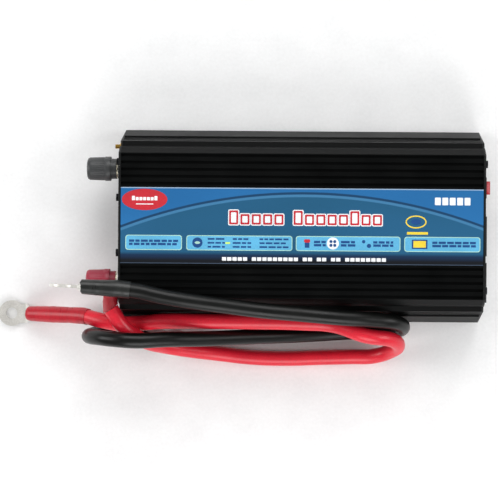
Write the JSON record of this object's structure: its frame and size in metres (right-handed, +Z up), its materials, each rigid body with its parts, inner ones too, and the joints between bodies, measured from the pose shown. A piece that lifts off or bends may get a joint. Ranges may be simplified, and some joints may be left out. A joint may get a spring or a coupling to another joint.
{
  "type": "power inverter",
  "caption": "Battery to mains power inverter: finned black case with a printed blue label, red and black knob posts, fan, mains outlets, rocker switch and two battery leads.",
  "frame": {"origin": "on the surface it stands on, under the middle of the body without its leads", "axes": "+X from the battery end to the mains end, +Y across the case to the black post side, +Z up"},
  "size_m": [0.4547, 0.2198, 0.1042],
  "materials": {
    "black_aluminium": "black anodised, satin",
    "black_steel": "black powder coat, matte",
    "label_film": "printed film",
    "black_screw": "black oxide",
    "zinc_steel": "zinc plated",
    "black_plastic": "moulded",
    "red_plastic": "moulded",
    "nickel_brass": "nickel plated",
    "black_knob": "moulded, semi-matte",
    "red_knob": "moulded, semi-matte",
    "fan_plastic": "moulded",
    "brass": "plain",
    "outlet_plastic": "moulded",
    "rocker_plastic": "moulded",
    "green_lens": "clear tinted",
    "red_lens": "clear tinted",
    "circuit_board": "solder mask",
    "copper": "plain copper",
    "fuse_plastic": "moulded",
    "capacitor_film": "shrink film",
    "ferrite": "sintered ferrite",
    "winding": "enamelled wire and tape",
    "plain_aluminium": "mill finish",
    "insulator": "silicone film",
    "lead_brown": "wire insulation",
    "black_cable": "PVC jacket, satin",
    "red_cable": "PVC jacket, satin",
    "black_sleeve": "shrunk tube",
    "red_sleeve": "shrunk tube",
    "tinned_copper": "tinned copper",
    "foot_rubber": "moulded rubber"
  },
  "bodies": {
    "case": {"top_shell": "black_aluminium", "base_plate": "black_steel", "name_label": "label_film", "dc_end_plate": "black_steel", "ac_end_plate": "black_steel", "plate_screws": "black_screw", "foot_1": "foot_rubber", "foot_2": "foot_rubber", "foot_3": "foot_rubber", "foot_4": "foot_rubber", "foot_screws": "zinc_steel", "black_post_base": "black_plastic", "black_post_stud": "nickel_brass", "black_post_nut": "zinc_steel", "red_post_base": "red_plastic", "red_post_stud": "nickel_brass", "red_post_nut": "zinc_steel", "fan_frame": "fan_plastic", "fan_guard": "zinc_steel", "fan_screws": "black_screw", "earth_terminal": "brass", "outlet_1": "outlet_plastic", "outlet_2": "outlet_plastic", "outlet_contacts": "brass", "switch_housing": "black_plastic", "switch_terminals": "brass", "power_lamp": "green_lens", "fault_lamp": "red_lens", "main_board": "circuit_board", "board_standoffs": "zinc_steel", "board_screws": "zinc_steel", "negative_busbar": "copper", "positive_busbar": "copper", "fuses": "fuse_plastic", "input_capacitors": "capacitor_film", "transformer_cores": "ferrite", "transformer_windings": "winding", "output_capacitor": "capacitor_film", "output_choke": "winding", "control_board": "circuit_board", "transistors": "black_plastic", "heat_spreaders": "plain_aluminium", "insulating_pads": "insulator", "mains_leads": "lead_brown", "black_lead": "black_cable", "black_battery_lug": "tinned_copper", "black_battery_sleeve": "black_sleeve", "black_post_lug": "tinned_copper", "black_post_sleeve": "black_sleeve", "red_lead": "red_cable", "red_battery_lug": "tinned_copper", "red_battery_sleeve": "red_sleeve", "red_post_lug": "tinned_copper", "red_post_sleeve": "red_sleeve"},
    "black_washer": {"black_post_washer": "nickel_brass"},
    "black_knob": {"black_post_knob": "black_knob"},
    "red_washer": {"red_post_washer": "nickel_brass"},
    "red_knob": {"red_post_knob": "red_knob"},
    "fan": {"fan_rotor": "fan_plastic"},
    "rocker": {"rocker_button": "rocker_plastic"}
  },
  "joints": [
    {"name": "black_washer_slide", "type": "slide", "parent": "case", "child": "black_washer", "axis": [-1, 0, 0], "range_m": [-0.00212, 0.00625]},
    {"name": "black_knob_turn", "type": "hinge", "parent": "black_washer", "child": "black_knob", "pos_m": [-0.15651, 0.0515, 0.044], "axis": [-1, 0, 0], "range_deg": [-612, 1800]},
    {"name": "red_washer_slide", "type": "slide", "parent": "case", "child": "red_washer", "axis": [-1, 0, 0], "range_m": [0, 0.00625]},
    {"name": "red_knob_turn", "type": "hinge", "parent": "red_washer", "child": "red_knob", "pos_m": [-0.15686, -0.0515, 0.044], "axis": [-1, 0, 0], "range_deg": [0, 1800]},
    {"name": "fan_spin", "type": "hinge", "parent": "case", "child": "fan", "pos_m": [-0.14366, 0, 0.044], "axis": [1, 0, 0], "continuous": true},
    {"name": "rocker_tilt", "type": "hinge", "parent": "case", "child": "rocker", "pos_m": [0.17734, 0.036, 0.052], "axis": [0, -1, 0], "range_deg": [0, 24]}
  ],
  "couplings": [
    {"joint": "black_knob_turn", "follows": "black_washer_slide", "rad_per_m": 5026.5},
    {"joint": "red_knob_turn", "follows": "red_washer_slide", "rad_per_m": 5026.5}
  ]
}
